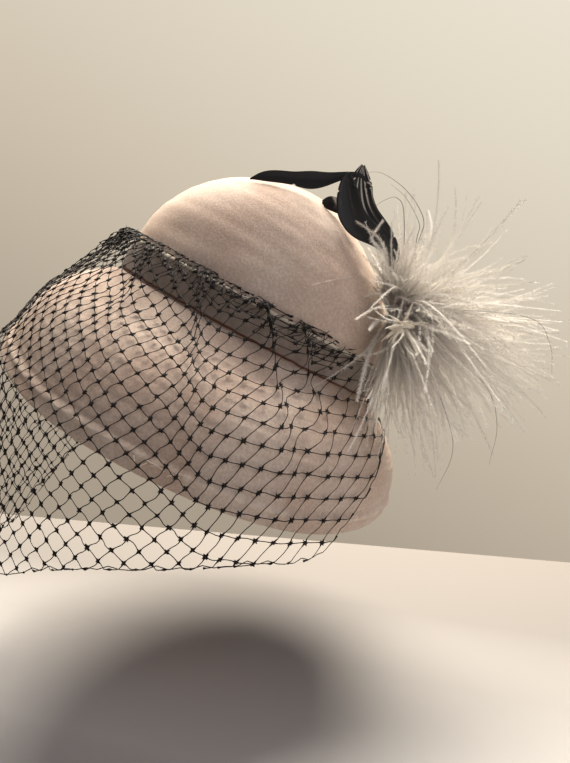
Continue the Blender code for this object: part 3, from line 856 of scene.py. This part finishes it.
def looseEnds(draw, spots):
    # cut ends of the net where it is gathered: short bent threads standing off the ribbon
    bearing = np.concatenate([draw.uniform(low, high, number) for low, high, number in spots])
    down = draw.uniform(0.0, 0.012, len(bearing))
    root, normal = netPoint(bearing, down)
    way = unit(normal * draw.uniform(0.2, 1, (len(root), 1)) + draw.normal(0, 0.8, root.shape))
    length = draw.uniform(0.002, 0.006, len(root))
    curl = 0.9 * draw.normal(0, 1, root.shape)
    paths = drooping(root, way, length, np.zeros(len(root)), curl, steps=5)
    return tubes(paths, veil["thread"], 4, normal[:, None])


# Folds laid over the first layer where the net is gathered: from, to, depth and squeeze
foldList = [
    (-24, 24, 0.018, 0.6),
    (-14, 26, 0.030, 0.8),
    (94, 150, 0.022, 0.6),
    (100, 140, 0.030, 0.8),
    (26, 98, 0.026, 1.0),
]
endSpots = [(-18, 14, 9), (98, 146, 26)]  # loose ends: from, to and how many
draw = np.random.default_rng(11)
leftStrands, leftKnots = netLayer(draw, 0.0, (0.0, veil["end"], 1.0))
rightStrands, rightKnots = netLayer(draw, 0.0, (-veil["end"], 2.2, 1.0))
folds = [
    netLayer(draw, 0.0008 + 0.0006 * place, fold[:3], shift=0.37 + 0.2 * place, squeeze=fold[3])
    for place, fold in enumerate(foldList)  # each lies a little higher than the one before
]
border, ends = borderThread(draw), looseEnds(draw, endSpots)
leftParts = joined(leftStrands, border, ends, *[fold[0] for fold in folds])
knotParts = joined(leftKnots, rightKnots, *[fold[1] for fold in folds])
addPiece("net_strands", makeMesh("strands", *leftParts), netFinish, "net", "net_veil")
addPiece("net_strands_right", makeMesh("strands", *rightStrands), netFinish, "net")
addPiece("net_knots", makeMesh("knots", *knotParts), netFinish, "net")


pouf = {
    "heading": 157.0,  # where it is sewn on: round the crown and up it
    "height": 0.0560,
    "depth": 0.0080,  # from the felt out to the bound head's middle
    "flues": 560,  # in each of two pieces
    "barbules": 300,  # on each flue
    "flueLength": (0.056, 0.112),
    "farthest": 0.120,  # no flue ends further than this from the bound head
    "locks": 64,  # flues stand in bunches that share their way and their bend
    "rising": 0.20,  # share of the bunches that stand up along the crown
    "falling": 0.10,  # share of them that hang towards the brim
    "risingDroop": 0.25,  # how much less the rising ones bend down
    "risingLength": 0.86,
    "uprightLess": 0.36,  # how much shorter upright flues are
    "barbule": 0.0026,
    "down": 0.00040,  # width of a barbule at its root
    "shaft": 0.00042,  # width of a flue's own shaft
    "quills": 14,
    "quill": 0.00045,  # radii
    "cord": 0.0019,
    "stub": 0.0014,
    "knot": (0.0, 0.007, -0.006),  # the cord's knot stands this far from the head's middle,
    "knotNear": 0.040,  # and this much nearer to the camera
    "seeds": (21, 22),
}


def poufFrame():
    # the sewn-on place: outside of the crown there, with its outward, upward and side ways
    heading = math.radians(pouf["heading"])
    climbs = np.radians(np.arange(0, 89, 1.0))
    rise = crownPoint(np.full(len(climbs), heading), climbs)[:, 2]
    climb = np.interp(pouf["height"], rise, climbs)
    step = 0.01
    turns = np.array([heading, heading, heading + step])
    here, above, beside = tipped(crownPoint(turns, np.array([climb, climb + step, climb])))
    up = unit(above - here)
    out = unit(np.cross(beside - here, up))
    return here, out, up, np.cross(out, up)


poufHere, poufOut, poufUp, poufSide = poufFrame()
poufMiddle = poufHere + poufOut * pouf["depth"]
downward = np.array([0, 0, -1.0])


def fluePaths(draw, count):
    # flues fan out of the bound head in bunches, outwards and down for the most part, and bend
    # under their weight: a cubic in length, shared by a bunch and varied by each flue
    locks = pouf["locks"]
    kind = draw.random(locks)
    tall = draw.uniform(-0.85, 0.80, locks)
    turn = draw.uniform(-1.45, 1.45, locks)
    level = np.sqrt(1 - tall**2)
    ways = [level * np.cos(turn) + 0.30, level * np.sin(turn), tall]
    rising = kind < pouf["rising"]
    falling = kind > 1 - pouf["falling"]
    spans = (((0.10, 0.50), (0.0, 0.3)), ((-0.3, 0.5), (0.2, 0.6)))  # outward, then sideways
    for axis, (up, down) in enumerate(spans):
        raised = draw.uniform(*up, locks)
        lowered = draw.uniform(*down, locks)
        ways[axis] = np.where(rising, raised, np.where(falling, lowered, ways[axis]))
    ways[2] = np.where(rising, 1.0, np.where(falling, -1.0, ways[2]))
    shared = unit(np.stack(ways, -1))
    less = np.where(rising, pouf["risingDroop"], np.clip(0.75 + tall, 0.3, 1))
    droop = draw.uniform(0.9, 2.0, locks) * less
    sharedBend = 0.50 * draw.normal(0, 1, (locks, 3)) + downward * droop[:, None]
    sharedLength = draw.uniform(0.75, 1.1, locks) * np.where(rising, pouf["risingLength"], 1.0)
    own = draw.integers(0, locks, count)
    parts = unit(shared[own] + 0.17 * draw.normal(0, 1, (count, 3)))
    direction = parts[:, :1] * poufOut + parts[:, 1:2] * poufSide + parts[:, 2:] * poufUp
    low, high = pouf["flueLength"]
    outward = np.clip(direction @ poufOut, 0, 1)
    upright = np.clip(direction[:, 2], 0, 1)
    length = draw.uniform(low, high, count) * sharedLength[own]
    length = length * (0.74 + 0.40 * outward) * (1 - pouf["uprightLess"] * upright**3)
    start = poufMiddle + direction * 0.003 + poufUp * (0.004 * draw.uniform(-1, 1, (count, 1)))
    bend = sharedBend[own] + 0.22 * draw.normal(0, 1, (count, 3))
    twist = 0.55 * draw.normal(0, 1, (count, 3)) - 0.35 * bend
    t = np.linspace(0, 1, 14)[None, :, None]
    curve = direction[:, None] * t + bend[:, None] * t**2 / 2 + twist[:, None] * t**3 / 3
    reach = np.linalg.norm(curve, axis=-1).max(axis=1) * length
    length = length * np.minimum(1, pouf["farthest"] * draw.uniform(0.72, 1.0, count) / reach)
    return start[:, None] + length[:, None, None] * curve


def ribbonsAlong(paths, width, across):
    # flat strips two points wide along many paths
    half = width[None, :, None] / 2 * across[:, None]
    points = np.stack([paths - half, paths + half], 2)
    count, steps = paths.shape[:2]
    return points.reshape(-1, 3), [repeated(gridQuads(steps, 2), count, steps * 2)]


def barbuleSpikes(draw, paths, each, wide):
    # one thin triangle for each barbule: its base lies along the barb and its tip stands off
    count, steps = paths.shape[:2]
    run = unit(np.gradient(paths, axis=1))
    at = (np.arange(each)[None, :] + draw.random((count, each))) / each * (steps - 1) * 0.999
    index = at.astype(int)
    part = (at - index)[..., None]
    rows = np.arange(count)[:, None]
    root = paths[rows, index] * (1 - part) + paths[rows, index + 1] * part
    ahead = run[rows, index]
    fan = np.cross(ahead, unit(draw.normal(0, 1, (count, 1, 3))))
    fan = unit(fan + 0.35 * draw.normal(0, 1, (count, each, 3)))
    side = np.where(np.arange(each) % 2 == 0, 1.0, -1.0)[None, :, None]
    share = at / (steps - 1)
    size = wide * (0.6 + 0.7 * draw.random((count, each, 1))) * (1 - 0.45 * share**3)[..., None]
    tip = root + (ahead * 0.75 + fan * side * 0.85 + downward * 0.15) * size
    base = ahead * pouf["down"] / 2
    points = np.stack([root - base, root + base, tip], 2).reshape(-1, 3)
    return points, [np.arange(len(points)).reshape(-1, 3)]


def smoothRuns(lists, steps):
    # paths through a few points each, as smooth cubic curves evenly stepped
    at = np.linspace(0, 1, steps)
    places = [np.linspace(0, 1, len(run)) for run in lists]
    return np.stack(
        [[through(at, own, column) for column in run.T] for own, run in zip(places, lists)]
    ).swapaxes(1, 2)


def onCrown(across, down):
    # the places of the crown that show at these pixels of the photograph, just off the felt
    heading, climb = np.meshgrid(np.arange(20, 175, 1.0), np.arange(0, 86, 1.0))
    points = tipped(crownPoint(np.radians(heading), np.radians(climb))).reshape(-1, 3)
    ray = unit(fromPhoto(across, down, 0.0) - eye)
    away = points - eye
    far = np.linalg.norm(away[None] - (away @ ray.T).T[..., None] * ray[:, None], axis=-1)
    found = points[far.argmin(axis=1)]
    return found + unit(eye - found) * 0.0012


def tracedRuns(traces, first, last):
    # runs from the bound head through pixels of the photograph; their places lie between the
    # first and the last distance in x from its middle
    runs = [fromPhoto(a, b, poufMiddle[0] + np.linspace(first, last, len(a))) for a, b in traces]
    return [np.concatenate([poufMiddle[None], run]) for run in runs]


def placedFlues():
    # single flues that the photograph shows apart from the rest, each from the bound head: one
    # strays over the felt, two cross the black feathers, the rest fall over the net
    stray = onCrown([366, 345, 328, 311], [279, 277, 280, 284])
    crossing = [
        ([388, 380, 368, 356], [262, 240, 229, 221]),
        ([386, 378, 372, 383], [262, 246, 238, 220]),
    ]
    falling = [
        ([384, 372, 364, 357], [328, 345, 372, 401]),
        ([392, 389, 386, 384], [335, 352, 375, 398]),
        ([383, 374, 369], [318, 324, 330]),
        ([402, 408, 422, 428], [340, 360, 385, 402]),
    ]
    lists = [np.concatenate([poufMiddle[None], stray])]
    lists += tracedRuns(crossing, 0.010, 0.010) + tracedRuns(falling, 0.012, 0.045)
    copies = np.array([1, 2, 2, 4, 4, 3, 3])  # several flues side by side look fuller
    wide = np.array([0.0015, 0.0028, 0.0028, 0.0034, 0.0034, 0.0030, 0.0030])
    return np.repeat(smoothRuns(lists, 14), copies, axis=0), np.repeat(wide, copies)[:, None, None]


def poufPiece(seed):
    draw = np.random.default_rng(seed)
    flues = fluePaths(draw, pouf["flues"])
    wide = np.full((len(flues), 1, 1), pouf["barbule"])
    if seed == pouf["seeds"][0]:
        placed, placedWide = placedFlues()
        flues = np.concatenate([flues[len(placed) :], placed])
        wide = np.concatenate([wide[len(placed) :], placedWide])
    across = unit(np.cross(flues[:, -1] - flues[:, 0], draw.normal(0, 1, (len(flues), 3))))
    width = pouf["shaft"] * (1 - 0.7 * np.linspace(0, 1, flues.shape[1]) ** 2)
    strips = ribbonsAlong(flues, width, across)
    spikes = barbuleSpikes(draw, flues, pouf["barbules"], wide)
    points, faces = joined(strips, spikes)
    # painted shade: down darker towards the bound head where the flues crowd; each flue's own tone
    # is random
    depth = np.linalg.norm(points - poufMiddle, axis=1) / 0.080
    own = draw.normal(0, 0.20, len(flues))
    own = np.concatenate([np.repeat(own, 2 * flues.shape[1]), np.repeat(own, 3 * pouf["barbules"])])
    return makeMesh("down", points, faces, tone=np.clip(depth * 0.9 + own, 0, 1))


addPiece("ostrich_down", poufPiece(pouf["seeds"][0]), downFinish, "ostrich", "ostrich_pouf")
addPiece("ostrich_down_upper", poufPiece(pouf["seeds"][1]), downFinish, "ostrich")


def shaftTubes(paths, thick):
    # round shafts that taper to a point
    steps = paths.shape[1]
    radii = thick * (1 - 0.8 * np.linspace(0, 1, steps) ** 1.5)
    ends = paths[:, -1:] - paths[:, :1]
    bulge = paths[:, steps // 2 : steps // 2 + 1] - paths[:, :1]
    upward = unit(np.cross(ends, bulge) + 1e-9)
    points, faces = tubes(paths, radii, 5, upward)
    tone = np.repeat(np.tile(0.35 + 0.65 * np.linspace(0, 1, steps), len(paths)), 5)
    return points, faces, tone


def poufTrim():
    # long bare quills, and the ivory cord that binds them, with its cut ends: tapering tubes
    draw = np.random.default_rng(23)
    aim = fluePaths(draw, pouf["quills"])
    quills = shaftTubes(aim, pouf["quill"])
    toCamera = unit(eye - poufMiddle)
    side = unit(np.cross(toCamera, poufUp))
    middle = poufMiddle + toCamera * pouf["knotNear"] + np.array(pouf["knot"])
    turn = np.linspace(0, 4.4 * math.pi, 60)
    wound = side * np.sin(turn)[:, None] * 0.0060 + toCamera * np.cos(turn)[:, None] * 0.0050
    coil = (middle + wound + poufUp * np.linspace(-0.0030, 0.0030, 60)[:, None])[None]
    count = 11  # cut ends
    ends = unit(draw.normal(0, 1, (count, 3)) * 0.8 + toCamera * 0.35)
    long = draw.uniform(0.009, 0.022, count)
    start = np.repeat(middle[None], count, 0)
    stubs = drooping(start, ends, long, np.full(count, 0.3), ends * 0.2, steps=12)
    parts = [quills, shaftTubes(coil, pouf["cord"]), shaftTubes(stubs, pouf["stub"])]
    points, faces = joined(*[part[:2] for part in parts])
    ivory = [np.full(len(part[2]), 0.95) for part in parts[1:]]
    return makeMesh("quills", points, faces, tone=np.concatenate([quills[2], *ivory]))


addPiece("ostrich_quills", poufTrim(), shaftFinish, "ostrich")


feathers = {
    "pitch": 0.0035,  # between places side by side
    "footOut": 0.0003,  # where they start, from the bound head's middle
    "footUp": 0.0133,
    "steps": 150,
    "half": 19,  # points across one face
    "quill": 0.0008,  # radii
    "hair": 0.00028,
    "thick": 0.00030,  # half of a vane's thickness at its quill
    "sweep": 0.95,  # how far forward the barbs run, in half widths
}
leafShape = tableOf(
    "along rise width",
    (0.00, 88, 0.10),
    (0.17, 92, 0.10),
    (0.28, 118, 0.12),
    (0.40, 118, 0.12),
    (0.50, 112, 0.16),
    (0.55, 170, 0.30),
    (0.62, 190, 0.55),
    (0.70, 186, 1.00),
    (0.80, 174, 0.76),
    (0.92, 180, 0.56),
    (1.00, 196, 0.06),
)
broadShape = tableOf(
    "along rise width",
    (0.00, 86, 0.10),
    (0.22, 92, 0.16),
    (0.34, 122, 0.50),
    (0.48, 140, 0.90),
    (0.62, 128, 1.00),
    (0.76, 104, 0.84),
    (0.90, 92, 0.48),
    (1.00, 80, 0.10),
)
smallShape = tableOf(
    "along rise width",
    (0.00, 88, 0.10),
    (0.24, 94, 0.14),
    (0.38, 124, 0.18),
    (0.60, 142, 0.40),
    (0.80, 148, 1.00),
    (0.92, 160, 0.90),
    (1.00, 176, 0.15),
)
# Place, lean and fan set a feather beside the others; the next column is how strong its pale
# lines are, lines how close together, and they end at tip
# painted sheen: the upright feather's pale lines are its grey gloss; on the others they are real
# marks
featherColumns = "shape length width place lean fan stripes lines notches tip".split()
featherRows = {
    "leaf_feather": (leafShape, 0.165, 0.0120, -0.35, 2, 0, 0.0, 1, 1, 2.0),
    "upright_feather": (broadShape, 0.092, 0.0185, 1.9, 4, 2, 0.38, 7, 4, 2.0),
    "striped_feather": (broadShape, 0.097, 0.0205, 0.5, 0, -5, 1.25, 15, 5, 2.0),
    "small_feather": (smallShape, 0.093, 0.0095, -1.3, 2, 0, 1.30, 0.6, 3, 0.93),
}


def featherSpine(made, steps):
    # a run that starts above the bound head and turns by the table's rise; width follows it
    lean, shape = math.radians(made["lean"]), made["shape"]
    foot = poufHere + poufOut * (pouf["depth"] + feathers["footOut"]) + poufUp * feathers["footUp"]
    foot = foot + poufSide * made["place"] * feathers["pitch"]
    along = np.linspace(0, 1, steps)
    rise = np.radians(through(along, shape["along"], shape["rise"]) + made["fan"])
    run = unit(np.stack([np.full(steps, math.sin(lean)), np.cos(rise), np.sin(rise)], -1))
    parts = (run[1:] + run[:-1]) / 2 * made["length"] / (steps - 1)
    spine = foot + np.concatenate([np.zeros((1, 3)), parts]).cumsum(axis=0)
    flat = unit(np.array([math.cos(lean), 0, 0]) - run * run[:, :1])
    half = made["width"] / 2 * np.maximum(through(along, shape["along"], shape["width"]), 0.05)
    return along, spine, run, flat, np.cross(run, flat), half


def featherMesh(name, seed):
    # a thin lens-shaped vane carried along the spine, with notches where its barbs part, and a
    # tapering quill along its middle; the barb coordinate grows along each slanting barb row
    made = dict(zip(featherColumns, featherRows[name]))
    draw = np.random.default_rng(seed)
    steps, wide, count = feathers["steps"], feathers["half"], made["notches"]
    along, spine, run, flat, across, half = featherSpine(made, steps)
    quill = tubes(spine[None], feathers["quill"] * (1 - 0.75 * along), 6, flat[None])
    v = np.linspace(-1, 1, wide)
    ring = np.concatenate([v, v[-2:0:-1]])
    over = np.concatenate([np.ones(wide), -np.ones(wide - 2)])
    notch = np.zeros((steps, len(ring)))
    places, depths = draw.uniform(0.3, 0.97, count), draw.uniform(0.15, 0.5, count)
    for place, depth, side in zip(places, depths, draw.choice([-1, 1], count)):
        cut = np.exp(-(((along - place) / 0.006) ** 2))[:, None]
        notch += depth * cut * np.clip(ring * side - 0.2, 0, 1)
    reach = ring * (1 - np.clip(notch, 0, 0.7)) * half[:, None]
    forward = feathers["sweep"] * np.abs(ring) ** 1.4 * half[:, None]
    rise = 0.16 * half[:, None] * ring**2 + feathers["thick"] * over * (1 - 0.75 * ring**2)
    points = spine[:, None] + across[:, None] * reach[..., None] + run[:, None] * forward[..., None]
    points = points + flat[:, None] * rise[..., None]
    sides = len(ring)
    cap = np.arange(sides)[None]
    faces = [gridQuads(steps, sides, closed=True), cap, cap[:, ::-1] + (steps - 1) * sides]
    line = np.clip(np.sin(ring * made["lines"] + 0.6) * 1.3 - 0.1, 0, 1)
    along = along[:, None]
    line = line * np.clip((made["tip"] - along) / 0.04, 0, 1)
    # pale lines: painted sheen on the upright feather, pale marks of their own on the others
    tone = made["stripes"] * line * np.clip(2.4 * along - 0.8, 0.10, 1)
    tone = tone + 0.10 * draw.random((steps, 1))
    barb = along * made["length"] - forward
    points, faces = joined((points.reshape(-1, 3), faces), quill)
    extra = np.full(len(quill[0]), 0.12)
    tone, barb = np.concatenate([tone.ravel(), extra]), np.concatenate([barb.ravel(), 0 * extra])
    return makeMesh(name, points, faces, tone=tone, barb=barb)


for seed, name in enumerate(featherRows):
    addPiece(name + "_vane", featherMesh(name, seed + 40), blackFinish, "black_feather", name)


def darkHairs():
    # hair-thin stripped barbs, dyed black: three curl over forwards, three show below the pouf
    high = [
        ([405, 419, 424, 418, 406, 391, 377, 359], [285, 240, 223, 206, 190, 178, 172, 174]),
        ([408, 417, 419, 406, 391], [280, 238, 223, 198, 184]),
        ([402, 404, 397, 385, 371], [285, 215, 198, 200, 209]),
    ]
    low = [
        ([420, 448, 452, 436], [350, 420, 455, 490]),
        ([440, 485, 497, 489], [350, 385, 425, 465]),
        ([450, 530, 550, 552], [310, 318, 345, 374]),
    ]
    lists = tracedRuns(high, -0.004, -0.004) + tracedRuns(low, 0.018, 0.018)
    points, faces, tone = shaftTubes(smoothRuns(lists, 40), feathers["hair"])
    return makeMesh("hairs", points, faces, tone=0 * tone + 0.1, barb=0 * tone)


addPiece("black_hairs", darkHairs(), blackFinish, "black_feather")


studio = {
    "room": (0.190, 0.174, 0.170, 1.0),  # light from all sides
    "wall": [(0.1, "#A99C8B"), (0.5, "#CFC3AF"), (1.0, "#EDE5D3")],  # dark to light
    "wallRise": (0.0, 0.52, 1.0),  # the way in which it grows lighter
    "floorPaintedLight": [
        (0.10, "#8C8680"),
        (0.37, "#86827E"),
        (0.52, "#A19E9B"),
        (0.70, "#D0CFCD"),
        (1.00, "#8F8C89"),
    ],
    "floorRise": (1.30, -0.50, 0.0),  # the way along which the tones follow one another
    "floorThick": 0.03,
    "floorLevel": -0.240,
    "floorBack": ((-0.356, -0.365), (-0.180, 0.290)),  # the table's back edge: x, y
    "key": dict(place=(-0.66, 0.14, 1.35), size=1.40, power=101.0, colour="#FFF5E6"),
    "fill": dict(place=(1.20, 1.30, 0.90), size=1.60, power=7.0, colour="#F4F5FF"),
}


def plainFloor():
    made, tree, shader = newMaterial("pale painted board", Roughness=0.6, Specular_IOR_Level=0.3)
    # painted light: floor lightest in front of and left of the hat, where its shadow falls, darker
    # beyond
    where = addNode(tree, "TexCoord").outputs["Object"]
    dot = dict(second=studio["floorRise"], operation="DOT_PRODUCT")
    rise = addNode(tree, "VectorMath", [(0, where)], **dot)
    level = addNode(tree, "Math", [(0, rise.outputs["Value"])], second=0.5, operation="ADD")
    colour = addNode(tree, "ValToRGB", [("Fac", level)], studio["floorPaintedLight"])
    linkUp(tree, shader, [("Base Color", colour)])
    (x0, y0), (x1, y1) = studio["floorBack"]
    slope = (x1 - x0) / (y1 - y0)
    ys = np.array([-2.5, 2.5])
    back = x0 + slope * (ys - y0)
    front = np.array([2.6, 2.6])
    top, low = studio["floorLevel"], studio["floorLevel"] - studio["floorThick"]
    rows = [(back[0], ys[0]), (front[0], ys[0]), (front[1], ys[1]), (back[1], ys[1])]
    points = np.array([(x, y, top) for x, y in rows] + [(x, y, low) for x, y in rows])
    faces = [[0, 1, 2, 3], [7, 6, 5, 4], [0, 4, 5, 1], [1, 5, 6, 2], [2, 6, 7, 3], [3, 7, 4, 0]]
    mesh = makeMesh("floor", points, [np.array(faces)])
    mesh.shade_flat()
    mesh.materials.append(made)
    floor = inScene("floor", mesh)


def addLamp(name, made):
    data = bpy.data.lights.new(name, "AREA")
    data.shape = "DISK"
    data.size, data.energy = made["size"], made["power"]
    data.color = toLinear(made["colour"])[:3]
    lamp = inScene(name, data)
    place = np.array(made["place"])
    away = unit(place)  # the lamp's own Z points away from the hat
    lamp.location = place
    lamp.rotation_euler = (math.acos(away[2]), 0, math.atan2(away[1], away[0]) + math.pi / 2)
    lamp.visible_camera = False


def roomLight():
    # an even soft room; the camera sees a wall with painted light, lighter upwards and to the right
    world = bpy.data.worlds.new("room")
    bpy.context.scene.world = world
    world.use_nodes = True
    tree = world.node_tree
    where = addNode(tree, "TexCoord").outputs["Generated"]
    dot = dict(second=studio["wallRise"], operation="DOT_PRODUCT")
    rise = addNode(tree, "VectorMath", [(0, where)], **dot)
    level = addNode(tree, "Math", [(0, rise.outputs["Value"])], second=0.4, operation="ADD")
    wall = addNode(tree, "ValToRGB", [("Fac", level)], studio["wall"])
    seen = addNode(tree, "LightPath").outputs["Is Camera Ray"]
    layers = [("Fac", seen), ("Color2", wall)]
    both = addNode(tree, "MixRGB", layers, Color1=studio["room"])
    linkUp(tree, tree.nodes["Background"], [("Color", both)])


def photoCamera():
    data = bpy.data.cameras.new("photo")
    data.sensor_width = photo["sensor"]
    data.lens = photo["focal"] / photo["high"] * photo["sensor"]
    data.clip_start = 0.01
    camera = inScene("photo", data)
    camera.location = photo["place"]
    camera.rotation_euler = (math.radians(90 - photo["pitch"]), 0, math.radians(90))
    bpy.context.scene.camera = camera


plainFloor()
addLamp("key", studio["key"])
addLamp("fill", studio["fill"])
roomLight()
photoCamera()
bpy.context.scene.view_settings.view_transform = "Standard"
print("studio made")

bpy.context.view_layer.update()
